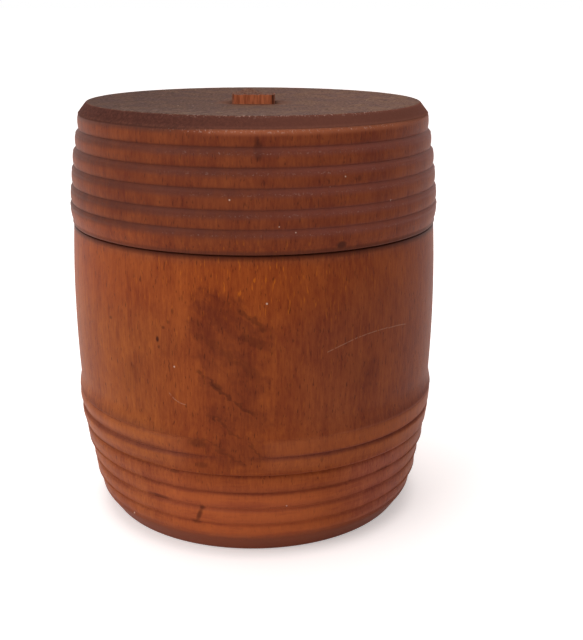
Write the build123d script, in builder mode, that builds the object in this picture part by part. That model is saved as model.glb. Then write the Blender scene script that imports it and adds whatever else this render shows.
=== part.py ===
from build123d import *
import os

# Turned wooden barrel box with a lift-off lid. Lengths are in millimetres, +Z is up, and the origin is the
# centre of the foot. Every piece is turned about Z, apart from the peg and its mortise, which are square.

# Body, from the foot up to the joint with the lid. Its swells are measured out from the joint's radius.
joint_radius = 36.0
foot_bevel_height = 4.0
bead_band_height = 21.2
wall_height = 33.6
ridge_swell = 0.7
waist_swell = 0.19
waist_rise = 2.9
belly_swell = 0.57
belly_rise = 16.7
bead_taper = 3.6
foot_bevel_width = 2.7
edge_break = 0.3

# Lower beads, from the ridge down to the foot's bevel
body_bead_height_shares = (0.146, 0.196, 0.172, 0.167, 0.172, 0.146)
body_face_top_shares = (0.985, 0.915, 0.680, 0.418, 0.283, 0.033)
body_face_lean_shares = (0.050, 0.110, 0, 0, 0, 0)
body_groove_depth = 0.42
body_groove_height = 0.85
body_groove_bottom_share = 0.38

# Lid, from the joint up to its dished top
lid_height = 23.3
lid_overhang = 0.15
lid_swell = 0.45
lid_taper = 2.27
rim_bevel_height = 2.25
rim_bevel_width = 1.83
top_dish_depth = 0.6
top_dish_slope = 10.0

# Upper beads, from the rim's bevel down to the lip
lid_bead_height_shares = (0.175, 0.161, 0.161, 0.171, 0.156, 0.176)
lid_bead_step_shares = (0.286, 0.268, 0.176, 0.159, 0.111)
lid_ledge_height = 0.75

# Spigot round the body's mouth, and the hollows of the body and the lid
spigot_ledge = 3.6
spigot_wall = 3.0
spigot_height = 5.5
spigot_chamfer = 0.5
lid_fit_clearance = 0.15
lid_headroom = 0.5
floor_thickness = 6.5
lid_top_thickness = 6.0

# Hollow under the foot, so that the box stands on a ring
foot_ring_width = 4.0
foot_hollow_depth = 0.5
foot_hollow_slope = 1.5

# Stump of the knob's peg
peg_width = 8.2
peg_corner_radius = 0.8
mortise_depth = 4.0
peg_glue_clearance = 0.05
stump_height = 1.8
splinter_height = 2.9
splinter_start_share = 0.13
splinter_peak_share = 0.34
splinter_end_share = 0.70
break_back_drop = 0.4

# Heights above the foot
ridge_height = foot_bevel_height + bead_band_height
waist_height = ridge_height + waist_rise
belly_height = ridge_height + belly_rise
joint_height = ridge_height + wall_height
mouth_height = joint_height + spigot_height
total_height = joint_height + lid_height
recess_top = mouth_height + lid_headroom
ceiling_height = total_height - lid_top_thickness
dish_bottom = total_height - top_dish_depth

# Radii
ridge_radius = joint_radius + ridge_swell
foot_bevel_radius = ridge_radius - bead_taper
foot_radius = foot_bevel_radius - foot_bevel_width
foot_hollow_radius = foot_radius - foot_ring_width
spigot_radius = joint_radius - spigot_ledge
bore_radius = spigot_radius - spigot_wall
recess_radius = spigot_radius + lid_fit_clearance
lid_lip_radius = joint_radius + lid_overhang
lid_widest_radius = lid_lip_radius + lid_swell
shoulder_radius = lid_widest_radius - lid_taper
rim_radius = shoulder_radius - rim_bevel_width
dish_flat_radius = rim_radius - top_dish_slope


def bead_marks(shares):
    """Where each bead starts and ends, as shares of the height of the whole band of beads."""
    marks = [0]
    for share in shares:
        marks.append(marks[-1] + share / sum(shares))
    return marks


def body_bead_points():
    """Outline of the lower beads, from the ridge down to the foot's bevel.

    Each bead is an upright face, or one that leans in a little. A sloping groove parts it from the bead above,
    and the beads step inwards on their way down.
    """
    marks = bead_marks(body_bead_height_shares)
    points = []
    for index, (share, lean_share) in enumerate(zip(body_face_top_shares, body_face_lean_shares)):
        crease = ridge_height - bead_band_height * marks[index]
        next_crease = ridge_height - bead_band_height * marks[index + 1]
        groove_bottom = crease - body_groove_bottom_share * body_groove_height
        face_radius = foot_bevel_radius + bead_taper * share
        face_lean = bead_taper * lean_share
        points.append((face_radius - body_groove_depth, groove_bottom))
        points.append((face_radius, crease - body_groove_height))
        points.append((face_radius - face_lean, next_crease))
    return points


def lid_bead_points():
    """Outline of the upper beads, from the rim's bevel down to the top of the widest bead.

    Each bead is an upright face, and a sloping ledge leads out from its foot to the wider bead below it.
    """
    marks = bead_marks(lid_bead_height_shares)
    lid_band_height = lid_height - rim_bevel_height
    bevel_end = total_height - rim_bevel_height
    radius = shoulder_radius
    points = [(radius, bevel_end)]
    for index, share in enumerate(lid_bead_step_shares):
        shoulder = bevel_end - lid_band_height * marks[index + 1]
        crease = shoulder + lid_ledge_height
        points.append((radius, crease))
        radius += lid_taper * share / sum(lid_bead_step_shares)
        points.append((radius, shoulder))
    return points


# Body: one turned block, hollowed, with the spigot left standing round its mouth
with BuildPart() as body:
    with BuildSketch(Plane.XZ) as body_wall:
        with BuildLine() as body_outline:
            foot_outline = Polyline(
                (0, floor_thickness),
                (0, foot_hollow_depth),
                (foot_hollow_radius - foot_hollow_slope, foot_hollow_depth),
                (foot_hollow_radius, 0),
                (foot_radius, 0),
            )
            bead_outline = Polyline(foot_outline @ 1, *reversed(body_bead_points()), (ridge_radius, ridge_height))
            Line(bead_outline @ 1, (joint_radius + waist_swell, waist_height))
            belly_outline = ThreePointArc(
                (joint_radius + waist_swell, waist_height),
                (joint_radius + belly_swell, belly_height),
                (joint_radius, joint_height - edge_break),
            )
            Polyline(
                belly_outline @ 1,
                (joint_radius - edge_break, joint_height),
                (spigot_radius, joint_height),
                (spigot_radius, mouth_height - spigot_chamfer),
                (spigot_radius - spigot_chamfer, mouth_height),
                (bore_radius, mouth_height),
                (bore_radius, floor_thickness),
                (0, floor_thickness),
            )
        make_face()
    revolve(axis=Axis.Z)
body.part.label = "body"

# Lid: one turned block with a dished top, a recess that drops over the spigot and a mortise for the peg
mortise_width = peg_width + 2 * peg_glue_clearance
mortise_floor = dish_bottom - mortise_depth
with BuildPart() as lid:
    with BuildSketch(Plane.XZ) as lid_wall:
        with BuildLine() as lid_outline:
            Polyline(
                (0, ceiling_height),
                (0, dish_bottom),
                (dish_flat_radius, dish_bottom),
                (rim_radius, total_height),
                *lid_bead_points(),
                (lid_lip_radius, joint_height + edge_break),
                (lid_lip_radius - edge_break, joint_height),
                (recess_radius, joint_height),
                (recess_radius, recess_top),
                (bore_radius, recess_top),
                (bore_radius, ceiling_height),
                (0, ceiling_height),
            )
        make_face()
    revolve(axis=Axis.Z)
    with BuildSketch(Plane.XY.offset(mortise_floor)) as mortise:
        RectangleRounded(mortise_width, mortise_width, peg_corner_radius + peg_glue_clearance)
    extrude(amount=total_height - mortise_floor, mode=Mode.SUBTRACT)
lid.part.label = "lid"

# Stump of the knob's peg: square in section, with a torn top that rises to a splinter
half_peg = peg_width / 2
low_break = dish_bottom + stump_height
high_break = dish_bottom + splinter_height
peg_blank_top = high_break + splinter_height
with BuildPart() as knob_stub:
    with BuildSketch(Plane.XY.offset(mortise_floor)) as peg_section:
        RectangleRounded(peg_width, peg_width, peg_corner_radius)
    extrude(amount=peg_blank_top - mortise_floor)
    with BuildSketch(Plane.XZ.offset(-half_peg)) as front_break:
        with BuildLine():
            Polyline(
                (-half_peg, low_break),
                (-half_peg + peg_width * splinter_start_share, low_break),
                (-half_peg + peg_width * splinter_peak_share, high_break),
                (-half_peg + peg_width * splinter_end_share, low_break),
                (half_peg, low_break),
                (half_peg, peg_blank_top),
                (-half_peg, peg_blank_top),
                close=True,
            )
        make_face()
    extrude(amount=peg_width, mode=Mode.SUBTRACT)
    with BuildSketch(Plane.YZ.offset(-half_peg)) as side_break:
        with BuildLine():
            Polyline(
                (-half_peg, low_break),
                (0, high_break),
                (half_peg, low_break - break_back_drop),
                (half_peg, peg_blank_top),
                (-half_peg, peg_blank_top),
                close=True,
            )
        make_face()
    extrude(amount=peg_width, mode=Mode.SUBTRACT)
knob_stub.part.label = "knob_stub"

os.makedirs("parts", exist_ok=True)
export_step(body.part, "parts/body.step")
export_step(lid.part, "parts/lid.step")
export_step(knob_stub.part, "parts/knob_stub.step")
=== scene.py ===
import itertools
import math

import bmesh
import bpy
import numpy as np
from mathutils import Matrix, Vector, noise


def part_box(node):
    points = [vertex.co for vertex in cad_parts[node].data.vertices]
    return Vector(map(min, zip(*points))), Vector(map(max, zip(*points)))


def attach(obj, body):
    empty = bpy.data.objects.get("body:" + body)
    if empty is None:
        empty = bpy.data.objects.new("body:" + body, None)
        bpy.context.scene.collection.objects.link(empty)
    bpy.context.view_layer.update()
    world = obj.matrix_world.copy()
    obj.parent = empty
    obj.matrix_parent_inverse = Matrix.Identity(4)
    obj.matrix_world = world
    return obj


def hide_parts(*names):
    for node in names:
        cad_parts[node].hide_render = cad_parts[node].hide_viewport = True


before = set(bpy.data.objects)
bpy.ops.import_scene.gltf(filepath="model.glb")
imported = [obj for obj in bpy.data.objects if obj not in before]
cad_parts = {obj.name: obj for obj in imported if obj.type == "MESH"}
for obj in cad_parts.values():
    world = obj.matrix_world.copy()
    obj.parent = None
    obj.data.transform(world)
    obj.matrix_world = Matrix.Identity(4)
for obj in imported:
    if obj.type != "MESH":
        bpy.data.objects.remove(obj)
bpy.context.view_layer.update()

bl_info = {
    "name": "Turned Barrel Box",
    "version": (1, 0, 0),
    "blender": (4, 5, 0),
    "location": "3D View > Sidebar > Barrel Box",
    "description": "Worn, varnished wood for a small turned barrel box with a lift-off lid",
    "category": "Object",
}

# Lengths are in metres, like the frame's. MM turns a size in millimetres into metres.
MM = 0.001

# Heights and radii that the frame gives
BODY_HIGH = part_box("body")[1]
LID_LOW, LID_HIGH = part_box("lid")
PEG_LOW, PEG_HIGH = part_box("knob_stub")
RIDGE_RADIUS = BODY_HIGH.x
MOUTH_HEIGHT = BODY_HIGH.z
JOINT_HEIGHT = LID_LOW.z
TOP_HEIGHT = LID_HIGH.z
LID_WIDEST = LID_HIGH.x
HALF_PEG = PEG_HIGH.x

# How finely the pieces are turned
SECTORS = 8
SECTOR_STEPS = 45
BEAD_STEP = 0.33 * MM
WALL_STEP = 0.85 * MM
HIDDEN_STEP = 2.2 * MM
WELD = 0.001 * MM

# Radius at which the wall is unrolled for the marks on it, in millimetres as all places in the materials are
UNROLL_RADIUS = 36.0


def srgb(red, green, blue):
    """A colour as it is seen on a screen, 0 to 255, as the linear numbers that Blender uses."""
    linear = []
    for value in (red, green, blue):
        share = value / 255
        linear.append(share / 12.92 if share <= 0.04045 else ((share + 0.055) / 1.055) ** 2.4)
    return linear


# What the old smudge on the front, and the dirt and painted shade in the grooves, leave of the colour below them
STAIN = (0.56, 0.50, 0.74)
GROOVE_DIRT_AND_SHADE = (0.56, 0.59, 1.2)


def length(name, millimetres, description):
    return bpy.props.FloatProperty(name=name, description=description, default=millimetres * MM, unit="LENGTH")


def tone(name, colour, description):
    return bpy.props.FloatVectorProperty(name=name, description=description, default=colour, size=3,
                                         subtype="COLOR", min=0, max=1)


class BarrelBoxSizes(bpy.types.PropertyGroup):
    """Sizes that the frame's boxes don't give."""

    joint_radius: length("Joint radius", 36.0, "Radius of the wall where the lid meets it")
    belly_swell: length("Belly swell", 0.47, "How far the plain wall bulges beyond a straight line")
    ridge_height: length("Ridge height", 25.2, "Height of the ridge over the lower beads")
    bead_taper: length("Bead taper", 3.6, "How far the lower beads draw in from the ridge to the foot")
    foot_bevel_height: length("Foot bevel height", 4.0, "Height of the bevel round the foot")
    lid_taper: length("Lid taper", 2.27, "How far the upper beads draw in towards the lid's rim")
    wear: length("Wear", 0.16, "Depth of the small nicks along the shoulders of the beads")


class BarrelBoxFinish(bpy.types.PropertyGroup):
    """Colours of the finish."""

    warm: tone("Warm wood", srgb(166, 83, 39), "Varnished wood where the grain is open and bright")
    brown: tone("Brown wood", srgb(125, 52, 28), "Varnished wood where the grain is close")
    pore: tone("Pores", srgb(58, 22, 14), "Dark pores and old dirt in the creases")
    dust_and_sheen: tone("Dust", srgb(108, 82, 72), "Settled dust and dulled varnish")
    raw: tone("Raw wood", srgb(168, 104, 62), "Bare wood inside the box")


class Paint:
    """Builds a node tree. Each method adds nodes and returns the output that the next one needs."""

    def __init__(self, tree):
        self.tree = tree

    def set(self, socket, value):
        """Link an output to a socket, or write a plain value on it."""
        if isinstance(value, bpy.types.NodeSocket):
            self.tree.links.new(value, socket)
        elif socket.type == "RGBA" and len(value) == 3:
            socket.default_value = (*value, 1)
        else:
            socket.default_value = value

    def add(self, kind, **values):
        """Add a node and fill its inputs. Words in the inputs' names are parted by underscores here."""
        node = self.tree.nodes.new("ShaderNode" + kind)
        for name, value in values.items():
            self.set(node.inputs[name.replace("_", " ")], value)
        return node

    def math(self, operation, *values):
        node = self.add("Math")
        node.operation = operation
        for socket, value in zip(node.inputs, values):
            self.set(socket, value)
        return node.outputs[0]

    def times(self, product, *factors):
        for factor in factors:
            product = self.math("MULTIPLY", product, factor)
        return product

    def plus(self, total, *values):
        for value in values:
            total = self.math("ADD", total, value)
        return total

    def minus(self, first, second):
        return self.math("SUBTRACT", first, second)

    def distance(self, x, y):
        return self.math("SQRT", self.plus(self.times(x, x), self.times(y, y)))

    def stretch(self, vector, *factors):
        node = self.add("VectorMath")
        node.operation = "MULTIPLY"
        self.set(node.inputs[0], vector)
        self.set(node.inputs[1], factors)
        return node.outputs["Vector"]

    def join(self, x, y):
        return self.add("CombineXYZ", X=x, Y=y).outputs[0]

    def split(self, vector):
        return self.add("SeparateXYZ", Vector=vector).outputs

    def noise(self, vector, scale, detail=2.0, roughness=0.5, distortion=0.0):
        node = self.add("TexNoise", Vector=vector, Scale=scale, Detail=detail, Roughness=roughness,
                        Distortion=distortion)
        return node.outputs[0]

    def fade(self, value, start, end, low=0.0, high=1.0):
        """Smooth change from low to high while the value goes from start to end."""
        node = self.add("MapRange", Value=value, From_Min=start, From_Max=end, To_Min=low, To_Max=high)
        node.interpolation_type = "SMOOTHSTEP"
        return node.outputs[0]

    def mix(self, share, first, second, blend="MIX"):
        """Colour that goes from the first to the second as share goes from 0 to 1."""
        node = self.add("Mix")
        node.data_type = "RGBA"
        node.blend_type = blend
        self.set(node.inputs[0], share)
        self.set(node.inputs[6], first)
        self.set(node.inputs[7], second)
        return node.outputs[2]

    def tint(self, share, first, second):
        """The first colour multiplied by the second, as much as share says."""
        return self.mix(share, first, second, "MULTIPLY")

    def attribute(self, name):
        node = self.add("Attribute")
        node.attribute_name = name
        return node.outputs["Fac"]

    def mark(self, name, *values):
        """Use one of the node groups, with a value for each of its inputs in turn."""
        node = self.add("Group")
        node.node_tree = bpy.data.node_groups[name]
        for socket, value in zip(node.inputs, values):
            self.set(socket, value)
        return node.outputs[0]

    def close(self, output, shader):
        """End the tree with its output."""
        self.tree.links.new(shader.outputs[0], self.add(output).inputs["Surface"])


def empty_tree(owner):
    """The node tree of a new material or world, with nothing in it."""
    owner.use_nodes = True
    owner.node_tree.nodes.clear()
    return owner.node_tree


def new_group(name, inputs):
    """A node group with float inputs and one float output. Gives its paint, its inputs and its output."""
    tree = bpy.data.node_groups.new(name, "ShaderNodeTree")
    for label in inputs:
        tree.interface.new_socket(name=label, in_out="INPUT", socket_type="NodeSocketFloat")
    tree.interface.new_socket(name="Mark", in_out="OUTPUT", socket_type="NodeSocketFloat")
    return Paint(tree), tree.nodes.new("NodeGroupInput").outputs, tree.nodes.new("NodeGroupOutput").inputs[0]


def oval_group():
    """A ragged oval patch on the unrolled wall. Places and sizes are in millimetres along and up the wall."""
    paint, given, result = new_group("oval_mark", (
        "Along", "Up", "Noise", "Centre along", "Centre up", "Half width", "Half height", "Slant", "Ragged", "Soft"))
    above = paint.minus(given["Up"], given["Centre up"])
    across = paint.math("MULTIPLY_ADD", above, given["Slant"], paint.minus(given["Along"], given["Centre along"]))
    distance = paint.distance(paint.math("DIVIDE", across, given["Half width"]),
                              paint.math("DIVIDE", above, given["Half height"]))
    ragged = paint.times(paint.minus(given["Noise"], 0.5), given["Ragged"])
    inside = paint.math("DIVIDE", paint.minus(1.0, paint.plus(distance, ragged)), given["Soft"])
    paint.set(result, paint.fade(inside, 0.0, 1.0))


def scratch_group():
    """A thin, slightly bowed line on the unrolled wall, from one place to another, in millimetres."""
    paint, given, result = new_group("scratch_mark", (
        "Along", "Up", "Noise", "From along", "From up", "To along", "To up", "Bow", "Width", "Broken"))
    run = paint.minus(given["To along"], given["From along"])
    rise = paint.minus(given["To up"], given["From up"])
    whole = paint.distance(run, rise)
    run, rise = paint.math("DIVIDE", run, whole), paint.math("DIVIDE", rise, whole)
    along = paint.minus(given["Along"], given["From along"])
    up = paint.minus(given["Up"], given["From up"])
    travel = paint.math("DIVIDE", paint.plus(paint.times(along, run), paint.times(up, rise)), whole)
    arch = paint.times(travel, paint.minus(1.0, travel), 4.0, given["Bow"])
    aside = paint.minus(paint.minus(paint.times(up, run), paint.times(along, rise)), arch)
    near = paint.fade(paint.math("DIVIDE", paint.math("ABSOLUTE", aside), given["Width"]), 1.0, 0.35)
    ends = paint.times(paint.fade(travel, 0.0, 0.06), paint.fade(travel, 1.0, 0.9))
    kept = paint.fade(paint.minus(given["Noise"], given["Broken"]), -0.04, 0.06)
    paint.set(result, paint.times(near, ends, kept))


def degrees_along(angle):
    """Millimetres along the wall, from the front to this angle. To the right is positive."""
    return math.radians(angle) * UNROLL_RADIUS


def turn(outline, ring_step):
    """Spin an outline about Z into a mesh, with its corners rounded first."""
    shape = bmesh.new()
    points = [shape.verts.new((radius, 0, height)) for radius, height, rounding in outline]
    for here, there in zip(points, points[1:]):
        shape.edges.new((here, there))
    roundings = sorted({rounding for radius, height, rounding in outline if rounding > 0})
    by_rounding = {size: [p for p, row in zip(points, outline) if row[2] == size] for size in roundings}
    for size in roundings:
        bmesh.ops.bevel(shape, geom=by_rounding[size], offset=size * MM, offset_type="OFFSET", segments=3,
                        profile=0.5, affect="VERTICES", clamp_overlap=True, material=-1)
    for edge in list(shape.edges):
        middle = (edge.verts[0].co + edge.verts[1].co) / 2
        cuts = int(edge.calc_length() / ring_step(middle.x, middle.z))
        if cuts:
            bmesh.ops.subdivide_edges(shape, edges=[edge], cuts=cuts)
    sector = 2 * math.pi / SECTORS
    bmesh.ops.spin(shape, geom=list(shape.verts) + list(shape.edges), cent=(0, 0, 0), axis=(0, 0, 1),
                   dvec=(0, 0, 0), angle=sector, steps=SECTOR_STEPS)
    for doubling in range(int(math.log2(SECTORS))):
        copied = bmesh.ops.duplicate(shape, geom=list(shape.verts) + list(shape.edges) + list(shape.faces))["geom"]
        bmesh.ops.rotate(shape, cent=(0, 0, 0), matrix=Matrix.Rotation(sector, 3, "Z"), verts=vertices(copied))
        sector *= 2
    bmesh.ops.remove_doubles(shape, verts=shape.verts, dist=WELD)
    return shape


def vertices(parts):
    return [part for part in parts if isinstance(part, bmesh.types.BMVert)]


def to_object(shape, name, smooth=True):
    """Make an object from a finished bmesh, with its faces pointing outwards."""
    bmesh.ops.recalc_face_normals(shape, faces=shape.faces)
    for face in shape.faces:
        face.smooth = smooth
    mesh = bpy.data.meshes.new(name)
    shape.to_mesh(mesh)
    shape.free()
    piece = bpy.data.objects.new(name, mesh)
    bpy.context.scene.collection.objects.link(piece)
    return piece


def read_points(piece):
    """The piece's points as rows of x, y and z."""
    points = np.empty(len(piece.data.vertices) * 3)
    piece.data.vertices.foreach_get("co", points)
    return points.reshape(-1, 3)


def read_rings(piece):
    """The piece's points, and the radius and the height of each."""
    points = read_points(piece)
    return points, np.hypot(points[:, 0], points[:, 1]), points[:, 2]


def write_rings(piece, points, radius, moved):
    """Put each point at its new radius."""
    scale = np.where(radius > 0, moved / np.maximum(radius, WELD), 1)
    points[:, :2] *= scale[:, None]
    piece.data.vertices.foreach_set("co", points.ravel())
    piece.data.update()


def write_attributes(piece, **layers):
    """Keep numbers for each point, for the material to read."""
    for name, values in layers.items():
        piece.data.attributes.new(name, "FLOAT", "POINT").data.foreach_set("value", values.astype(float))


def bell(values, centre, width):
    """1 at the centre, falling off smoothly over the width."""
    return np.exp(-((values - centre) / width) ** 2)


def ramp(values, start, end):
    """0 before start and 1 after end, smooth in between."""
    share = np.clip((values - start) / (end - start), 0, 1)
    return share * share * (3 - 2 * share)


def rough_noise(points, scale, seed):
    """Smooth noise between -1 and 1 at each point. Scale is in bumps per millimetre."""
    place = points * (scale / MM) + 17.3 * seed
    cell = np.floor(place).astype(np.int64)
    share = place - cell
    share = share * share * (3 - 2 * share)
    total = np.zeros(len(points))
    for corner in itertools.product((0, 1), repeat=3):
        x, y, z = (cell + corner).T
        mixed = (x * 73856093) ^ (y * 19349663) ^ (z * 83492791)
        scattered = (mixed * (mixed * mixed * 15731 + 789221) + 1376312589) & 0x7FFFFFFF
        weight = np.prod(np.where(corner, share, 1 - share), axis=1)
        total += weight * (scattered / 0x3FFFFFFF - 1)
    return total


# Sizes of the outlines that the sidebar doesn't show
BODY_BEAD_HEIGHT_SHARES = (0.158, 0.182, 0.176, 0.172, 0.162, 0.150)
BODY_FACE_TOP_SHARES = (0.985, 0.915, 0.690, 0.425, 0.290, 0.040)
BODY_FACE_LEAN_SHARES = (0.050, 0.110, 0.030, 0.015, 0.015, 0.015)
BODY_GROOVE_DEPTHS = (0.3 * MM, 0.42 * MM, 0.34 * MM, 0.32 * MM, 0.26 * MM, 0.18 * MM)
BODY_GROOVE_HEIGHT = 1.0 * MM
BODY_GROOVE_BOTTOM_SHARE = 0.38
BODY_CROWN = 0.28 * MM
FOOT_BEVEL_WIDTH = 2.7 * MM
FOOT_RING_WIDTH = 4.0 * MM
FOOT_HOLLOW_SLOPE = 1.5 * MM
FOOT_HOLLOW_DEPTH = 0.5 * MM
FOOT_DIMPLE_DEPTH = 0.35 * MM
FOOT_DIMPLE_RADIUS = 1.2 * MM
WAIST_RISE = 2.9 * MM
WAIST_SWELL = 0.19 * MM
JOINT_GAP = 0.14 * MM
EDGE_BREAK = 0.2 * MM
LID_BEAD_HEIGHT_SHARES = (0.175, 0.161, 0.161, 0.171, 0.156, 0.176)
LID_BEAD_STEP_SHARES = (0.286, 0.268, 0.176, 0.159, 0.111)
LID_LEDGE_HEIGHT = 0.75 * MM
LID_GROOVE_DEPTH = 0.08 * MM
LID_GROOVE_FLANK = 0.25 * MM
LID_CROWN = 0.16 * MM
LIP_OVERHANG = 0.15 * MM
LIP_WIDTH = 1.4 * MM
RIM_BEVEL_HEIGHT = 2.25 * MM
RIM_BEVEL_WIDTH = 1.83 * MM
TOP_DISH = 0.6 * MM
DISH_FLOOR = TOP_HEIGHT - TOP_DISH
TOP_HOLE = 1.6 * HALF_PEG
PEG_CORNER = 0.8 * MM
PEG_CELLS = 44
MORTISE_CLEARANCE = 0.05 * MM
SPIGOT_RADIUS = 32.4 * MM
BORE_RADIUS = 29.4 * MM
RECESS_RADIUS = 32.55 * MM
RECESS_TOP = MOUTH_HEIGHT + 0.5 * MM
CEILING_HEIGHT = TOP_HEIGHT - 6.0 * MM
FLOOR_TOP = 6.5 * MM


def bead_marks(shares, low, high):
    """Heights where the beads start and end, from the top one down."""
    marks = [high]
    for share in shares:
        marks.append(marks[-1] - (high - low) * share / sum(shares))
    return marks


def body_creases():
    sizes = bpy.context.scene.barrel_box_sizes
    return bead_marks(BODY_BEAD_HEIGHT_SHARES, sizes.foot_bevel_height, sizes.ridge_height)


def lid_shoulders():
    return bead_marks(LID_BEAD_HEIGHT_SHARES, JOINT_HEIGHT, TOP_HEIGHT - RIM_BEVEL_HEIGHT)


# Outlines. Each point is a radius, a height and the rounding of its corner, which is in millimetres.


def body_bead_outline():
    """The lower beads, from the ridge down: groove bottom, top edge and bottom edge of each."""
    sizes = bpy.context.scene.barrel_box_sizes
    foot_bevel_radius = RIDGE_RADIUS - sizes.bead_taper
    creases = body_creases()
    lowest = len(BODY_FACE_TOP_SHARES) - 1
    outline = []
    for index, (top_share, lean_share) in enumerate(zip(BODY_FACE_TOP_SHARES, BODY_FACE_LEAN_SHARES)):
        radius = foot_bevel_radius + sizes.bead_taper * top_share
        lean = sizes.bead_taper * lean_share
        outline += [
            (radius - BODY_GROOVE_DEPTHS[index], creases[index] - BODY_GROOVE_BOTTOM_SHARE * BODY_GROOVE_HEIGHT, 0.06),
            (radius, creases[index] - BODY_GROOVE_HEIGHT, 0.3),
            (radius - lean, creases[index + 1], 0.16 if index < lowest else 1.1),
        ]
    return outline


def body_outline():
    """The whole body, from the middle of the foot's hollow, out and up, and back to the floor inside."""
    sizes = bpy.context.scene.barrel_box_sizes
    foot_radius = RIDGE_RADIUS - sizes.bead_taper - FOOT_BEVEL_WIDTH
    hollow_radius = foot_radius - FOOT_RING_WIDTH
    joint = sizes.joint_radius
    return [
        (0, FOOT_DIMPLE_DEPTH, 0), (FOOT_DIMPLE_RADIUS, FOOT_HOLLOW_DEPTH, 0.3),
        (hollow_radius - FOOT_HOLLOW_SLOPE, FOOT_HOLLOW_DEPTH, 0.5), (hollow_radius, 0, 0.4), (foot_radius, 0, 0.5),
        *reversed(body_bead_outline()),
        (RIDGE_RADIUS, sizes.ridge_height, 0.3), (joint + WAIST_SWELL, sizes.ridge_height + WAIST_RISE, 0),
        (joint, JOINT_HEIGHT - JOINT_GAP, 0.06), (joint - EDGE_BREAK, JOINT_HEIGHT, 0.06),
        (SPIGOT_RADIUS, JOINT_HEIGHT, 0.1), (SPIGOT_RADIUS, MOUTH_HEIGHT, 0.5),
        (BORE_RADIUS, MOUTH_HEIGHT, 0.35), (BORE_RADIUS, FLOOR_TOP, 4.0), (0, FLOOR_TOP, 0),
    ]


def lid_outline():
    """The lid, from the mortise outwards over the top, down the beads and back to the ceiling inside."""
    sizes = bpy.context.scene.barrel_box_sizes
    shoulders = lid_shoulders()
    radius = LID_WIDEST - sizes.lid_taper
    outline = [(TOP_HOLE, DISH_FLOOR, 0), (radius - RIM_BEVEL_WIDTH, TOP_HEIGHT, 0.35),
               (radius, TOP_HEIGHT - RIM_BEVEL_HEIGHT - 0.08 * MM, 0.28)]
    for index, share in enumerate(LID_BEAD_STEP_SHARES):
        crease = shoulders[index + 1] + LID_LEDGE_HEIGHT
        outline += [(radius, crease + LID_GROOVE_FLANK, 0.2), (radius - LID_GROOVE_DEPTH, crease, 0.12)]
        radius += sizes.lid_taper * share / sum(LID_BEAD_STEP_SHARES)
        outline.append((radius, shoulders[index + 1], 0.42))
    lip = sizes.joint_radius + LIP_OVERHANG
    return outline + [
        (lip, JOINT_HEIGHT + JOINT_GAP + EDGE_BREAK, 0.12), (lip - EDGE_BREAK, JOINT_HEIGHT + JOINT_GAP, 0.06),
        (lip - LIP_WIDTH, JOINT_HEIGHT, 0), (RECESS_RADIUS, JOINT_HEIGHT, 0.1), (RECESS_RADIUS, RECESS_TOP, 0.3),
        (BORE_RADIUS, RECESS_TOP, 0.3), (BORE_RADIUS, CEILING_HEIGHT, 2.6), (0, CEILING_HEIGHT, 0),
    ]


def body_ring_step(radius, height):
    sizes = bpy.context.scene.barrel_box_sizes
    if radius < RIDGE_RADIUS - sizes.bead_taper - 3.0 * MM:
        return HIDDEN_STEP
    return BEAD_STEP if height < sizes.ridge_height else WALL_STEP


def lid_ring_step(radius, height):
    if height > DISH_FLOOR - 0.01 * MM:
        return WALL_STEP
    return HIDDEN_STEP if radius < RECESS_RADIUS + 0.01 * MM else BEAD_STEP


SLACK = 0.05 * MM
DENT_DEPTH = 0.04 * MM
RIPPLE_DEPTH = 0.012 * MM
SAG_DEPTH = 0.13 * MM


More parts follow.
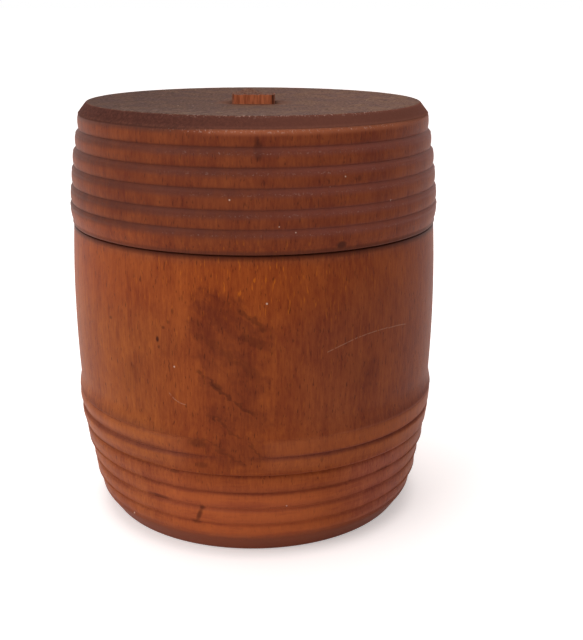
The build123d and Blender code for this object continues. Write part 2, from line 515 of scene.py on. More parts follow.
def shape_body(piece):
    """Bulge the plain wall, wear the two top grooves away at the front, and leave dents, nicks, and dirt with painted
    shade.
    """
    sizes = bpy.context.scene.barrel_box_sizes
    points, radius, height = read_rings(piece)
    angle = np.degrees(np.arctan2(points[:, 0], -points[:, 1]))
    outer = radius > SPIGOT_RADIUS + 0.5 * MM
    waist = sizes.ridge_height + WAIST_RISE
    share = np.clip((height - waist) / (JOINT_HEIGHT - waist), 0, 1)
    moved = radius + outer * (height < JOINT_HEIGHT) * sizes.belly_swell * 4 * share * (1 - share)

    # Where the smudge crosses the two top grooves, they are filled up to a straight line between the faces
    creases = body_creases()
    taper_base = RIDGE_RADIUS - sizes.bead_taper
    worn = (np.clip(bell(angle, -5, 11) + 0.6 * ramp(angle, 2, 14) * ramp(angle, 170, 130), 0, 1), bell(angle, -4, 9))
    edge_above = (RIDGE_RADIUS,
                  taper_base + sizes.bead_taper * (BODY_FACE_TOP_SHARES[0] - BODY_FACE_LEAN_SHARES[0]))
    for index in (0, 1):
        crease = creases[index]
        face = taper_base + sizes.bead_taper * BODY_FACE_TOP_SHARES[index]
        filled = edge_above[index] + (face - edge_above[index]) * np.clip((crease - height) / BODY_GROOVE_HEIGHT, 0, 1)
        inside = outer & (height < crease + 0.2 * MM) & (height > crease - BODY_GROOVE_HEIGHT - 0.1 * MM)
        moved = np.where(inside, moved + (np.maximum(filled, moved) - moved) * worn[index], moved)

    # Each bead curls in towards its foot, the two top ones only on the left, where all of them sag a little
    leftward = ramp(angle, -12, -34) * ramp(angle, -170, -130)
    for index, (top, bottom) in enumerate(zip(creases, creases[1:])):
        share = (top - BODY_GROOVE_HEIGHT - height) / (top - BODY_GROOVE_HEIGHT - bottom)
        curl = (share > 0) * (share < 1) * ramp(share, 0.25, 1.25)
        moved = moved - outer * BODY_CROWN * curl * (leftward if index < 2 else 1)
        moved = moved - outer * SAG_DEPTH * leftward * bell(height, top - 0.3 * MM, 0.75 * MM)
    dents = DENT_DEPTH * (rough_noise(points, 0.09, 1) + 1) / 2
    ripples = RIPPLE_DEPTH * (rough_noise(points * (1, 1, 0.3), 0.6, 2) + 1) / 2
    nick = np.maximum(rough_noise(points * (1, 1, 0.2), 0.9, 3) - 0.3, 0)
    edges = np.clip(sum(bell(height, mark - BODY_GROOVE_HEIGHT - 0.15 * MM, 0.2 * MM) for mark in creases[:-1]), 0, 1)
    write_rings(piece, points, radius, moved - outer * (dents + ripples + edges * nick * sizes.wear))

    # Dirt and painted shade above and in each groove: most of it in front in the low ones, and at the sides in the top
    # one
    middle = ramp(angle, -60, -20) * ramp(angle, 66, 36)
    clean = 1 - 0.7 * ramp(angle, 28, 46) * ramp(angle, 170, 130)
    depths = (0.72 * (ramp(angle, -12, -42) + ramp(angle, 26, 52)), (0.85 + 0.1 * leftward) * (1 - worn[1]),
              (0.14 + 0.08 * middle) * clean, (0.22 + 0.38 * middle) * clean, (0.3 + 0.3 * middle) * clean,
              (0.06 + 0.25 * middle) * clean)
    blotches = 0.88 + 0.12 * rough_noise(points, 0.35, 6)
    grime = 0 * height
    for index, (mark, depth) in enumerate(zip(creases, depths)):
        if index == 0:
            mark = mark + 0.45 * MM * ramp(np.abs(angle), 15, 45)
        reach = 0.5 + 0.9 * leftward if index == 1 else 1.5
        band = ramp(height, mark - 1.35 * MM, mark - 0.7 * MM) * ramp(height, mark + reach * MM, mark - 0.15 * MM)
        line = bell(height, mark - 0.42 * MM, 0.24 * MM) * (index in (1, 2, 3)) * (1 - 0.8 * leftward)
        grime = np.maximum(grime, depth * blotches * (0.75 * band + 0.4 * line))
    # Dark line under the joint: dirt and painted shade in the gap
    joint = (radius > sizes.joint_radius - 1.6 * MM) * ramp(height, JOINT_HEIGHT - 0.5 * MM, JOINT_HEIGHT - 0.15 * MM)
    bare = ((radius < SPIGOT_RADIUS + SLACK) & (height > JOINT_HEIGHT - SLACK)
            | (radius < BORE_RADIUS + SLACK) & (height > FLOOR_TOP - SLACK))
    write_attributes(piece, grime=outer * np.clip(grime, 0, 1), joint=outer * joint, bare=bare)


def shape_lid(piece):
    """Crown the beads, dish the top, and leave dents, nicks, and dirt with painted shade."""
    sizes = bpy.context.scene.barrel_box_sizes
    points, radius, height = read_rings(piece)
    outer = (radius > RECESS_RADIUS + 0.4 * MM) | (height > CEILING_HEIGHT + 1.0 * MM)
    rim_radius = LID_WIDEST - sizes.lid_taper - RIM_BEVEL_WIDTH
    shoulders = lid_shoulders()
    steps = shoulders[1:-1]
    side = outer & (radius > rim_radius)
    crown = 0 * height
    for top, bottom in zip(shoulders, shoulders[1:]):
        share = (top - height) / (top - bottom - LID_LEDGE_HEIGHT)
        crown = crown + (share > 0) * (share < 1) * (2 * share - 1) ** 2
    crowned = radius - side * (height > JOINT_HEIGHT + 0.1 * MM) * LID_CROWN * crown
    dents = 0.75 * DENT_DEPTH * (rough_noise(points, 0.09, 4) + 1) / 2
    nick = np.maximum(rough_noise(points * (1, 1, 0.25), 0.75, 5) - 0.25, 0)
    edges = sum(bell(height, mark - 0.1 * MM, 0.2 * MM) for mark in steps)
    edges = edges + bell(height, shoulders[0] - 0.22 * MM, 0.2 * MM)
    rim = bell(crowned, rim_radius, 0.35 * MM) * bell(height, TOP_HEIGHT, 0.35 * MM)
    moved = crowned - side * (dents + np.clip(edges + rim, 0, 1) * nick * sizes.wear)
    top = (height > DISH_FLOOR - 0.01 * MM) & (crowned < rim_radius)
    dished = DISH_FLOOR + TOP_DISH * np.clip((height - DISH_FLOOR) / TOP_DISH, 0, 1) ** 1.6
    points[:, 2] = np.where(top, dished, height) - outer * rim * nick * 0.6 * sizes.wear
    write_rings(piece, points, radius, moved)
    # Dirt and painted shade: in the creases, on the ledges and the tops of the beads below them, and at the joint
    grime = sum(bell(height, mark + LID_LEDGE_HEIGHT, 0.2 * MM) for mark in steps)
    joint = (crowned > sizes.joint_radius - 1.5 * MM) * ramp(height, JOINT_HEIGHT + 0.26 * MM, JOINT_HEIGHT + 0.1 * MM)
    ledge = sum(ramp(height, mark - 1.1 * MM, mark + 0.05 * MM)
                * ramp(height, mark + LID_LEDGE_HEIGHT + 0.5 * MM, mark + LID_LEDGE_HEIGHT) for mark in steps)
    bare = (crowned < RECESS_RADIUS + SLACK) & (height < CEILING_HEIGHT + SLACK) | (height < JOINT_HEIGHT + SLACK)
    write_attributes(piece, joint=side * joint, grime=side * np.clip(grime, 0, 1), ledge=side * np.clip(ledge, 0, 1),
                     rub=outer * np.clip(edges * side + rim, 0, 1), bare=bare)


def square_radius(angle):
    """Radius of the peg's rounded square section in the direction of an angle."""
    flat = HALF_PEG / max(abs(math.cos(angle)), abs(math.sin(angle)))
    turned = math.pi / 4 - abs(math.fmod(abs(angle), math.pi / 2) - math.pi / 4)
    centre = (HALF_PEG - PEG_CORNER) * math.sqrt(2)
    swing = math.pi / 4 - turned
    reach = PEG_CORNER ** 2 - (centre * math.sin(swing)) ** 2
    if reach > 0 and flat * math.sin(math.pi / 4 - swing) > HALF_PEG - PEG_CORNER:
        return centre * math.cos(swing) + math.sqrt(reach)
    return flat


def cut_mortise(shape):
    """Carry the open middle of the lid's top inwards to the square mortise, and close its floor."""
    bore = [edge for edge in shape.edges if edge.is_boundary]
    for height in (DISH_FLOOR, PEG_LOW.z):
        grown = bmesh.ops.extrude_edge_only(shape, edges=bore)["geom"]
        for vertex in vertices(grown):
            angle = math.atan2(vertex.co.y, vertex.co.x)
            reach = square_radius(angle) + MORTISE_CLEARANCE
            vertex.co = (reach * math.cos(angle), reach * math.sin(angle), height)
        bore = [part for part in grown if isinstance(part, bmesh.types.BMEdge) and part.is_boundary]
    bmesh.ops.edgeloop_fill(shape, edges=bore)


class Wood(Paint):
    """A wood material, painted by places in millimetres.

    Along runs round the wall from the front, and across is the way to the middle plane, which has no jump at the
    back. To the right is positive in both.
    """

    def __init__(self, name):
        self.material = bpy.data.materials.new(name)
        super().__init__(empty_tree(self.material))
        self.colours = bpy.context.scene.barrel_box_finish
        self.place = self.stretch(self.add("TexCoord").outputs["Object"], 1000, 1000, 1000)
        self.across, self.back, self.up = self.split(self.place)
        turned = self.math("ARCTAN2", self.across, self.times(self.back, -1.0))
        self.along = self.times(turned, UNROLL_RADIUS)
        self.radius = self.distance(self.across, self.back)

    def height(self, start, end, low=0.0, high=1.0):
        """Fade from one height to another."""
        return self.fade(self.up, start, end, low, high)

    def side(self, start, end, low=0.0, high=1.0):
        """Fade from one angle to another, on the left or the right, alike in front and at the back."""
        start, end = (UNROLL_RADIUS * math.sin(math.radians(angle)) for angle in (start, end))
        return self.fade(self.across, start, end, low, high)

    def front(self, start, end, low=0.0, high=1.0):
        """Fade from one angle to another in front."""
        return self.fade(self.along, degrees_along(start), degrees_along(end), low, high)

    def fibre_noise(self, height_share, scale, detail=1.0, roughness=0.5, distortion=0.0):
        """Noise that is drawn out upwards, the more so the smaller its height share is."""
        return self.noise(self.stretch(self.place, 1, 1, height_share), scale, detail, roughness, distortion)

    def patch(self, noise, angle, height, half_width, half_height, slant, ragged, soft):
        """A ragged oval patch."""
        return self.mark("oval_mark", self.along, self.up, noise, degrees_along(angle), height, half_width,
                         half_height, slant, ragged, soft)

    def line(self, noise, up, start, end, bow, width, broken):
        """A thin, broken line from one angle and height to another."""
        return self.mark("scratch_mark", self.along, up, noise, degrees_along(start[0]), start[1],
                         degrees_along(end[0]), end[1], bow, width, broken)

    def grain(self):
        """Upright grain, from coarse clouds to fine pores. Gives the colour, the pores and the fibres."""
        fibres = self.fibre_noise(0.13, 2.5, 3.0, 0.62, 0.5)
        streaks = self.fibre_noise(0.07, 0.5, 2.0, 0.55, 0.6)
        clouds = self.fibre_noise(0.6, 0.16, 3.0, 0.55)
        grit = self.fibre_noise(0.5, 1.1, 2.0, 0.6)
        share = 0.0
        for pattern, start, end, weight in ((fibres, 0.32, 0.68, 0.38), (streaks, 0.3, 0.7, 0.25),
                                            (clouds, 0.34, 0.66, 0.35), (grit, 0.3, 0.7, 0.2)):
            share = self.math("MULTIPLY_ADD", self.fade(pattern, start, end), weight, share)
        colour = self.mix(share, self.colours.brown, self.colours.warm)
        pores = self.fade(self.fibre_noise(0.2, 3.6), 0.63, 0.74)
        colour = self.mix(self.times(pores, 0.5), colour, self.colours.pore)
        flecks = self.fade(self.fibre_noise(0.15, 3.1), 0.62, 0.75)
        open_grain = self.patch(clouds, 0, 54, 27, 11, 0.0, 0.8, 0.9)
        flecks = self.times(flecks, self.math("MULTIPLY_ADD", open_grain, 0.5, 0.2))
        colour = self.mix(flecks, colour, srgb(196, 104, 34))
        return self.tint(open_grain, colour, (1.12, 1.05, 0.78)), pores, fibres

    def specks(self, colour, scale):
        """Tiny pale specks, in about one cell in eight."""
        cells = self.add("TexVoronoi", Vector=self.place, Scale=scale).outputs
        chosen = self.math("LESS_THAN", self.split(cells["Color"])[0], 0.12)
        speck = self.times(self.fade(cells["Distance"], 0.07, 0.035), chosen, 0.75)
        return self.mix(speck, colour, srgb(226, 196, 176))

    def shade(self, colour, roughness, relief, depth, specular):
        """Close the material with one Principled shader. Depth is what the relief is worth, in metres."""
        bump = self.add("Bump", Strength=1.0, Distance=depth, Height=relief).outputs[0]
        self.close("OutputMaterial", self.add("BsdfPrincipled", Base_Color=colour, Roughness=roughness, Normal=bump,
                                              Specular_IOR_Level=specular))
        return self.material

    def varnish(self, colour, pores, fibres, dull, specular):
        """Close the material of a piece that is bare inside. Dull adds to the roughness."""
        bare = self.attribute("bare")
        raw = self.mix(self.fade(fibres, 0.35, 0.7), scaled(self.colours.raw, 0.72), self.colours.raw)
        colour = self.mix(bare, colour, raw)
        roughness = self.plus(0.42, self.times(fibres, 0.12), dull, self.times(bare, 0.3))
        return self.shade(colour, roughness, self.minus(fibres, self.times(pores, 0.6)), 0.03 * MM, specular)


def scaled(colour, factor):
    return [value * factor for value in colour]


# Marks on the front of the body, at angles in degrees and heights in millimetres.
# Patches: angle, height, half width, half height, slant and strength.
SMUDGE = (
    (-8, 49.3, 6.0, 4.2, 0.2, 1.0), (-4.6, 44.5, 8.2, 5.0, 0.2, 0.8), (-4.4, 40, 7.2, 5.0, 0.15, 0.66),
    (-3, 35.5, 7.4, 5.0, 0.1, 0.7), (-2.4, 30, 7.4, 5.5, 0.0, 0.62), (-2.5, 23, 6.6, 4.6, 0.0, 0.5),
    (-13.4, 46.5, 1.8, 3.6, 0.0, 0.8), (-23, 42.5, 2.8, 3.4, 0.0, 0.25),
)
SPOTS = (
    (-8.5, 35.3, 1.3, 0.9, 0.8, 0.45), (-14.5, 24.2, 2.6, 1.3, 0.0, 0.4), (-13.5, 19.8, 1.8, 0.9, 0.0, 0.35),
    (-26, 43, 0.45, 0.75, 0.0, 0.9), (-25.6, 41.6, 0.35, 0.5, 0.0, 0.5), (-24, 45.3, 0.5, 0.45, 0.0, 0.5),
    (-22.5, 46.4, 0.4, 0.5, 0.0, 0.3), (-21, 48.5, 0.35, 0.7, 0.0, 0.4), (-18, 51, 0.35, 0.8, 0.0, 0.3),
    (-44, 45, 0.7, 0.5, 0.0, 0.45), (-14.9, 10.2, 0.9, 0.8, 0.0, 0.5), (-15.9, 8.6, 0.7, 2.0, -0.35, 0.62),
    (-17.6, 6.8, 1.7, 0.9, 0.0, 0.4), (-23, 17.3, 1.6, 0.4, 0.0, 0.4), (35, 36, 6.0, 5.0, 0.3, 0.12),
    (-36, 35, 3.0, 5.0, -0.3, 0.12), (-30, 10.9, 3.6, 0.55, 0.0, 0.45), (46, 14.3, 3.2, 0.6, 0.0, 0.4),
)
# Lines: angle and height of both ends, bow and width. Strokes have a strength too.
STROKES = (
    ((-14.5, 38.2), (3, 29.8), -0.35, 0.7, 0.42), ((-12, 30.2), (5, 21.5), 0.3, 0.45, 0.3),
    ((-13.5, 25.5), (0, 19.5), 0.2, 0.4, 0.25), ((-5, 50.4), (5.5, 45.6), 0.3, 0.9, 0.38),
    ((-2, 45.0), (5.2, 42.6), 0.2, 1.0, 0.28), ((-15, 45.2), (4.5, 36.6), 0.2, 1.3, 0.2),
)
STROKE_FALL = math.radians(37)
SCRATCHES = (
    ((22.5, 40.9), (33, 42.9), 0.1, 0.12), ((32.5, 42.8), (44.5, 43.3), 0.2, 0.12),
    ((44, 43.2), (53, 42.7), 0.15, 0.12), ((-23, 33.2), (-17.5, 31.2), -0.5, 0.12),
)
# Patches on the lid
LID_SPOTS = ((3.6, 76.8, 1.0, 2.6, 0.0, 0.6), (27, 60.1, 1.3, 0.9, 0.0, 0.8), (33, 71.3, 0.6, 0.7, 0.0, 0.4))


def body_wood(name, specular):
    paint = Wood(name)
    along, up, pore = paint.along, paint.up, paint.colours.pore
    colour, pores, fibres = paint.grain()
    smear = paint.noise(paint.join(along, up), 0.35, 4.0, 0.6)

    # Painted sheen and shade: the wall is paler and hazier on the left with painted sheen, darker and bluer on the
    # right with painted shade and sheen, and the beads on both sides are bluer with painted sheen
    wall, beads = paint.height(23, 26.5), paint.height(19.5, 16.5)
    for share, change in (
            (paint.times(paint.side(-15, -36), paint.height(52, 42)), (1.03, 1.18, 1.18)),
            (paint.times(paint.side(4, 28), paint.height(56, 44, 0.3, 1.0), wall), (0.87, 0.94, 1.35)),
            (paint.times(paint.side(52, 64), wall), (0.92, 0.84, 0.72)),
            (paint.times(paint.side(22, 40), paint.side(62, 50), beads), (1.02, 1.06, 1.75)),
            (paint.times(paint.side(-12, -26), paint.side(-58, -38, 0.3, 1.0), beads), (1.12, 1.15, 1.45)),
            (paint.times(paint.side(20, 42), beads), (1.12, 1.27, 1.6)),
            # Painted shade under the lid's overhang, darker and bluer below the joint
            (paint.height(56.4, 58.4), (0.84, 0.93, 1.3))):
        colour = paint.tint(share, colour, change)

    # Paler wood on the lower beads, partly worn and partly painted light from the floor below, and long smears on them
    worn = paint.times(paint.height(19, 11, 0.0, 0.55), paint.front(-42, -6, 0.15, 1.0), paint.front(60, 10, 0.1, 1.0))
    colour = paint.mix(worn, colour, srgb(214, 112, 64))
    beside_smudge = paint.math("MAXIMUM", paint.front(-14, -22, 0.0, 0.17), paint.front(2, 8, 0.0, 0.17))
    pale = paint.times(paint.height(25.3, 24.4), paint.height(18.0, 19.5), beside_smudge)
    colour = paint.mix(pale, colour, srgb(212, 124, 80))
    smears = paint.noise(paint.stretch(paint.place, 0.14, 0.14, 1), 0.75, 3.0, 0.6)
    smears = paint.times(paint.fade(smears, 0.5, 0.68, 0.0, 0.55), paint.height(25, 17))
    colour = paint.tint(smears, colour, (0.72, 0.64, 0.8))

    # Old smudge on the front: slanting strokes inside soft patches, all with crooked edges, and dark spots
    wander = paint.noise(paint.join(along, up), 0.5, 3.0, 0.6)
    smear_up = paint.math("MULTIPLY_ADD", paint.minus(wander, 0.5), 4.5, up)
    fall, run = math.sin(STROKE_FALL), math.cos(STROKE_FALL)
    stroke_along = paint.minus(paint.times(along, run), paint.times(smear_up, fall))
    stroke_across = paint.plus(paint.times(along, fall), paint.times(smear_up, run))
    strokes = paint.noise(paint.join(paint.times(stroke_along, 0.2), stroke_across), 0.55, 4.0, 0.6)
    stain = 0.0
    for *place, strength in SMUDGE:
        stain = paint.math("MAXIMUM", paint.times(paint.patch(smear, *place, 1.3, 0.4), strength), stain)
    stain = paint.times(stain, paint.math("MULTIPLY_ADD", paint.fade(strokes, 0.38, 0.62), 0.45, 0.55), 0.95)
    colour = paint.tint(stain, colour, STAIN)
    for *place, strength in SPOTS:
        colour = paint.mix(paint.times(paint.patch(smear, *place, 0.6, 0.7), strength), colour, pore)
    for *place, strength in STROKES:
        colour = paint.mix(paint.times(paint.line(smear, smear_up, *place, 0.41), strength), colour, pore)

    # Dirt and painted shade in the grooves and under the joint, the rubbed foot, scratches and specks
    grime = paint.attribute("grime")
    colour = paint.tint(grime, colour, GROOVE_DIRT_AND_SHADE)
    colour = paint.mix(paint.times(paint.attribute("joint"), 0.85), colour, pore)
    ragged_up = paint.math("MULTIPLY_ADD", paint.noise(paint.place, 0.35, 4.0, 0.6), 1.2, up)
    colour = paint.mix(paint.fade(ragged_up, 5.5, 4.0, 0.0, 0.85), colour, srgb(136, 76, 58))
    breaks = paint.noise(paint.join(along, up), 2.5)
    for place in SCRATCHES:
        colour = paint.mix(paint.times(paint.line(breaks, up, *place, 0.4), 0.4), colour, srgb(196, 150, 124))
    colour = paint.specks(colour, 0.3)
    return paint.varnish(colour, pores, fibres, paint.times(grime, 0.3), specular)


def lid_wood(name, specular):
    paint = Wood(name)
    across, back, pore, dust_and_sheen = paint.across, paint.back, paint.colours.pore, paint.colours.dust_and_sheen
    colour, pores, fibres = paint.grain()
    rightward = paint.side(-48, 54)
    colour = paint.tint(1.0, colour, paint.mix(rightward, (0.67, 0.7, 0.92), (0.79, 0.81, 1.16)))
    smear = paint.noise(paint.join(paint.along, paint.up), 0.35, 4.0, 0.6)
    for *place, strength in LID_SPOTS:
        colour = paint.mix(paint.times(paint.patch(smear, *place, 0.9, 0.6), strength), colour, pore)

    # Dirt and painted shade on the ledges and the tops of the beads below them, painted shade on the lip, dirt and
    # painted shade in the creases and at the joint. The widest bead is rubbed paler on the left
    ledge_dirt_and_shade = paint.mix(paint.side(-50, -20), srgb(84, 44, 34), srgb(100, 53, 42))
    ledge_dirt_and_shade = paint.mix(paint.side(-12, 35), ledge_dirt_and_shade, srgb(136, 75, 63))
    uneven = paint.fade(paint.noise(paint.place, 0.35, 4.0, 0.6), 0.3, 0.7, 0.6, 0.85)
    for share, dirt in ((paint.times(paint.attribute("ledge"), uneven), ledge_dirt_and_shade),
                        (paint.height(60.0, 59.2, 0.0, 0.75), srgb(92, 48, 36)),
                        (paint.times(paint.attribute("grime"), 0.12), pore),
                        (paint.times(paint.attribute("joint"), 0.4), pore)):
        colour = paint.mix(share, colour, dirt)
    widest_bead = paint.times(paint.height(63.0, 62.0), paint.side(-10, -40, 0.0, 0.4))
    colour = paint.tint(widest_bead, colour, (1.6, 1.5, 1.35))

    # Dust and painted grey sheen on the top: darker on the left, in pale wisps at the front, and rubbed off round the
    # stump
    motes = paint.noise(paint.place, 1.9, 3.0, 0.75)
    mottle = paint.noise(paint.place, 0.22, 3.0, 0.6, 0.8)
    dusty = paint.mix(paint.fade(motes, 0.3, 0.7), scaled(dust_and_sheen, 0.42), scaled(dust_and_sheen, 1.42))
    for share, dark, light in ((paint.fade(mottle, 0.35, 0.65), (0.86, 0.86, 0.95), (1.16, 1.12, 1.02)),
                               (paint.fade(across, -30, 30), (0.69, 0.71, 0.72), (1.14, 1.16, 1.12))):
        dusty = paint.tint(1.0, dusty, paint.mix(share, dark, light))
    wisps = paint.noise(paint.join(paint.times(across, 0.3), back), 1.7, 3.0, 0.7)
    wisps = paint.times(paint.fade(back, -14, -24), paint.fade(across, 22, -4), paint.fade(wisps, 0.52, 0.68), 0.6)
    dusty = paint.mix(wisps, dusty, srgb(176, 150, 132))
    dusty = paint.mix(paint.fade(paint.radius, 8.5, 5.5, 0.0, 0.6), dusty, srgb(112, 72, 54))
    face = paint.times(paint.height(81.2, 81.45), paint.fade(paint.radius, 32.6, 32.3))
    colour = paint.mix(paint.times(face, 0.93), colour, dusty)

    # The bevel is dark, its lower edge is worn and has a painted highlight on the right and is dirty on the left, and
    # has painted glints in front
    bevel = paint.times(paint.height(79.6, 79.85), paint.minus(1.0, face))
    dark = paint.mix(paint.fade(motes, 0.35, 0.7), srgb(68, 41, 36), srgb(92, 54, 45))
    dark = paint.mix(paint.times(rightward, 0.7), dark, srgb(134, 82, 68))
    dark = paint.tint(paint.height(80.6, 80.0), dark, (1.3, 1.35, 1.3))
    colour = paint.mix(paint.times(bevel, 0.95), colour, dark)
    edge = paint.times(paint.height(78.6, 79.7), paint.height(80.05, 79.85))
    # Worn edge on the right, with a painted highlight
    worn = paint.times(edge, paint.fade(across, -12, 0, 0.0, 0.7), paint.side(64, 44, 0.2, 1.0))
    colour = paint.mix(worn, colour, srgb(192, 112, 78))
    colour = paint.mix(paint.times(edge, paint.fade(across, -8, -16, 0.0, 0.7)), colour, srgb(84, 48, 39))
    sparkle = paint.fade(paint.noise(paint.place, 2.6, 3.0, 0.7), 0.56, 0.66)
    sparkle = paint.times(sparkle, paint.attribute("rub"), paint.fade(paint.along, -22, -4),
                          paint.fade(paint.along, 38, 26), paint.height(78.5, 79.0, 0.3, 0.85))
    colour = paint.mix(sparkle, colour, srgb(212, 172, 156))
    colour = paint.specks(colour, 0.36)
    return paint.varnish(colour, pores, fibres, paint.times(paint.math("MAXIMUM", face, bevel), 0.25), specular)


def peg_wood():
    paint = Wood("peg_wood_torn")
    fibres = paint.fibre_noise(0.12, 2.1, 3.0, 0.6)
    colour = paint.mix(paint.fade(fibres, 0.3, 0.7), srgb(164, 86, 56), srgb(214, 122, 80))
    dusty = paint.mix(paint.fade(fibres, 0.4, 0.6), srgb(92, 52, 38), srgb(122, 84, 66))
    colour = paint.mix(paint.attribute("torn"), colour, dusty)
    return paint.shade(colour, 0.65, fibres, 0.05 * MM, 0.1)


class BARRELBOX_OT_stage(bpy.types.Operator):
    """Put up the pale floor, the soft light and the camera"""

    bl_idname = "barrelbox.stage"
    bl_label = "Stage"

    def execute(self, context):
        make_floor()
        make_light()
        make_camera()
        return {"FINISHED"}


FLOOR_RADIUS = 60.0

# How much light the floor adds to what is seen of it, so that it looks as white as in the photograph
CONTACT_GLOW = 0.42
NEAR_GLOW = 0.18
FAR_GLOW = 0.20


def make_floor():
    shape = bmesh.new()
    bmesh.ops.create_circle(shape, cap_ends=True, segments=96, radius=FLOOR_RADIUS)
    floor = to_object(shape, "pale_floor", smooth=False)
    material = bpy.data.materials.new("pale_paper")
    paint = Paint(empty_tree(material))
    paths = paint.add("LightPath").outputs
    seen = paint.math("MAXIMUM", paths["Is Camera Ray"], paths["Is Transmission Ray"])
    seen = paint.math("MAXIMUM", seen, paths["Is Glossy Ray"])
    x, y, z = paint.split(paint.add("TexCoord").outputs["Object"])
    away = paint.distance(x, y)
    # The glow is least at the foot and grows outwards: a painted contact shadow kept tight round the base
    amount = paint.plus(paint.fade(away, 0.031, 0.0355, 0.0, NEAR_GLOW), paint.fade(away, 0.05, 0.16, 0.0, FAR_GLOW),
                        CONTACT_GLOW)
    glow = paint.add("Emission", Color=(1.0, 0.94, 0.93), Strength=paint.times(seen, amount))
    both = paint.add("AddShader")
    paint.set(both.inputs[0], paint.add("BsdfDiffuse", Color=(0.90, 0.875, 0.86)).outputs[0])
    paint.set(both.inputs[1], glow.outputs[0])
    paint.close("OutputMaterial", both)
    floor.data.materials.append(material)


# Lamps: name, place and width in metres, and power in watts. Both aim at the middle of the box
LAMPS = (("window_left", (-0.42, -0.36, 0.36), 0.45, 1.35), ("lamp_above", (-0.05, 0.10, 0.60), 0.4, 1.2))
LAMP_AIM = Vector((0, 0, 0.045))


def make_light():
    world = bpy.data.worlds.new("soft_room")
    bpy.context.scene.world = world
    paint = Paint(empty_tree(world))
    x, y, z = paint.split(paint.add("TexCoord").outputs["Generated"])
    level = paint.plus(paint.fade(x, 0.6, -0.9, 0.0, 0.21), paint.fade(z, 0.0, 1.0, 0.0, 0.25), 0.15)
    paths = paint.add("LightPath").outputs
    for kind in ("Is Camera Ray", "Is Glossy Ray", "Is Transmission Ray"):
        level = paint.math("MAXIMUM", level, paths[kind])
    paint.close("OutputWorld", paint.add("Background", Color=(1, 1, 1), Strength=level))
    for name, place, size, power in LAMPS:
        lamp = bpy.data.lights.new(name, "AREA")
        lamp.shape = "SQUARE"
        lamp.size = size
        lamp.energy = power
        holder = bpy.data.objects.new(name, lamp)
        holder.location = place
        holder.rotation_euler = (LAMP_AIM - Vector(place)).to_track_quat("-Z", "Y").to_euler()
        bpy.context.scene.collection.objects.link(holder)


# Camera of the photograph: its place, and its turn, tilt and roll
CAMERA_PLACE = (8.98 * MM, -207.97 * MM, 99.34 * MM)
CAMERA_TURN = math.radians(-0.398)
CAMERA_TILT = math.radians(16.748)
CAMERA_ROLL = math.radians(0.168)
CAMERA_LENS = 58.37


def make_camera():
    data = bpy.data.cameras.new("photo_view")
    data.sensor_width = 36
    data.lens = CAMERA_LENS
    camera = bpy.data.objects.new("photo_view", data)
    turned = (Matrix.Rotation(-CAMERA_TURN, 4, "Z") @ Matrix.Rotation(math.pi / 2 - CAMERA_TILT, 4, "X")
              @ Matrix.Rotation(CAMERA_ROLL, 4, "Z"))
    camera.matrix_world = Matrix.Translation(CAMERA_PLACE) @ turned
    bpy.context.scene.collection.objects.link(camera)
    bpy.context.scene.camera = camera
    bpy.context.scene.view_settings.view_transform = "Standard"


class BARRELBOX_OT_body(bpy.types.Operator):
    """Turn the body with its lower beads, plain wall, spigot and bore"""

    bl_idname = "barrelbox.body"
    bl_label = "Body"

    def execute(self, context):
        piece = to_object(turn(body_outline(), body_ring_step), "body_turned")
        shape_body(piece)
        piece.data.materials.append(body_wood("body_wood_worn_varnish", 0.07))
        piece.data.materials.append(body_wood("body_wood_dull_foot", 0.02))
        foot_height = context.scene.barrel_box_sizes.foot_bevel_height
        for face in piece.data.polygons:
            if face.center.z < foot_height:
                face.material_index = 1
        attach(piece, "body")
        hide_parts("body")
        return {"FINISHED"}


class BARRELBOX_OT_lid(bpy.types.Operator):
    """Turn the lid with its upper beads, dished top, recess and mortise"""

    bl_idname = "barrelbox.lid"
    bl_label = "Lid"

    def execute(self, context):
        shape = turn(lid_outline(), lid_ring_step)
        cut_mortise(shape)
        piece = to_object(shape, "lid_turned")
        shape_lid(piece)
        piece.data.materials.append(lid_wood("lid_wood_varnish", 0.08))
        piece.data.materials.append(lid_wood("lid_wood_dusty_top", 0.02))
        for face in piece.data.polygons:
            if face.center.z > TOP_HEIGHT - RIM_BEVEL_HEIGHT:
                face.material_index = 1
        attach(piece, "lid")
        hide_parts("lid")
        return {"FINISHED"}


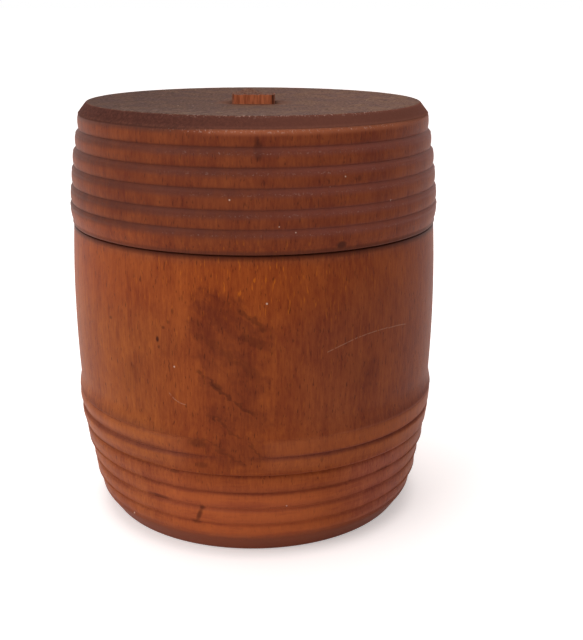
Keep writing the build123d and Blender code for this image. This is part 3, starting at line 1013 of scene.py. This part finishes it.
class BARRELBOX_OT_peg(bpy.types.Operator):
    """Tear off the knob's peg, leaving its stump"""

    bl_idname = "barrelbox.peg"
    bl_label = "Peg stump"

    def execute(self, context):
        shape = bmesh.new()
        bmesh.ops.create_grid(shape, x_segments=PEG_CELLS, y_segments=PEG_CELLS, size=HALF_PEG)
        for vertex in shape.verts:
            reach = math.hypot(vertex.co.x, vertex.co.y)
            limit = square_radius(math.atan2(vertex.co.y, vertex.co.x))
            square = HALF_PEG / max(abs(vertex.co.x), abs(vertex.co.y), WELD) * reach
            vertex.co *= min(1.0, limit / square) if reach > 0 else 1.0
            vertex.co.z = PEG_LOW.z
        grown = bmesh.ops.extrude_face_region(shape, geom=list(shape.faces), use_keep_orig=True)["geom"]
        for vertex in vertices(grown):
            x, y = vertex.co.x / HALF_PEG, vertex.co.y / HALF_PEG
            # The break rises to a splinter left of the middle and falls away at the back. Rise is in millimetres
            hump = math.exp(-((x + 0.25) / 0.45) ** 2 - ((y - 0.35) / 0.5) ** 2)
            torn = noise.noise(Vector((x * 7, y * 7, 3.1))) * 0.45 + noise.noise(Vector((x * 19, y * 19, 8.2))) * 0.3
            rise = 1.75 + 1.0 * hump + 0.35 * torn - 0.35 * max(0.0, y)
            vertex.co.z = min(DISH_FLOOR + rise * MM, PEG_HIGH.z)
        piece = to_object(shape, "peg_stump", smooth=False)
        points = read_points(piece)
        inset = np.maximum(np.abs(points[:, 0]), np.abs(points[:, 1])) < HALF_PEG - 0.1 * MM
        edge = 0.6 * (points[:, 1] > -HALF_PEG + 0.1 * MM)
        write_attributes(piece, torn=(points[:, 2] > DISH_FLOOR) * np.where(inset, 1.0, edge))
        piece.data.materials.append(peg_wood())
        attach(piece, "lid")
        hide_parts("knob_stub")
        return {"FINISHED"}


class BARRELBOX_PT_panel(bpy.types.Panel):
    """Sizes, colours and pieces of the barrel box"""

    bl_idname = "BARRELBOX_PT_panel"
    bl_label = "Barrel Box"
    bl_space_type = "VIEW_3D"
    bl_region_type = "UI"
    bl_category = "Barrel Box"

    def draw(self, context):
        layout = self.layout
        for group in (context.scene.barrel_box_sizes, context.scene.barrel_box_finish):
            for name in group.bl_rna.properties.keys():
                if name not in ("rna_type", "name"):
                    layout.prop(group, name)
        for operator in STEPS:
            layout.operator(operator.bl_idname)


STEPS = (BARRELBOX_OT_stage, BARRELBOX_OT_body, BARRELBOX_OT_lid, BARRELBOX_OT_peg)
CLASSES = (BarrelBoxSizes, BarrelBoxFinish, *STEPS, BARRELBOX_PT_panel)


def register():
    for item in CLASSES:
        bpy.utils.register_class(item)
    bpy.types.Scene.barrel_box_sizes = bpy.props.PointerProperty(type=BarrelBoxSizes)
    bpy.types.Scene.barrel_box_finish = bpy.props.PointerProperty(type=BarrelBoxFinish)


def unregister():
    del bpy.types.Scene.barrel_box_finish
    del bpy.types.Scene.barrel_box_sizes
    for item in reversed(CLASSES):
        bpy.utils.unregister_class(item)


def main():
    register()
    oval_group()
    scratch_group()
    bpy.ops.barrelbox.stage()
    bpy.ops.barrelbox.body()
    bpy.ops.barrelbox.lid()
    bpy.ops.barrelbox.peg()


if __name__ == "__main__":
    main()
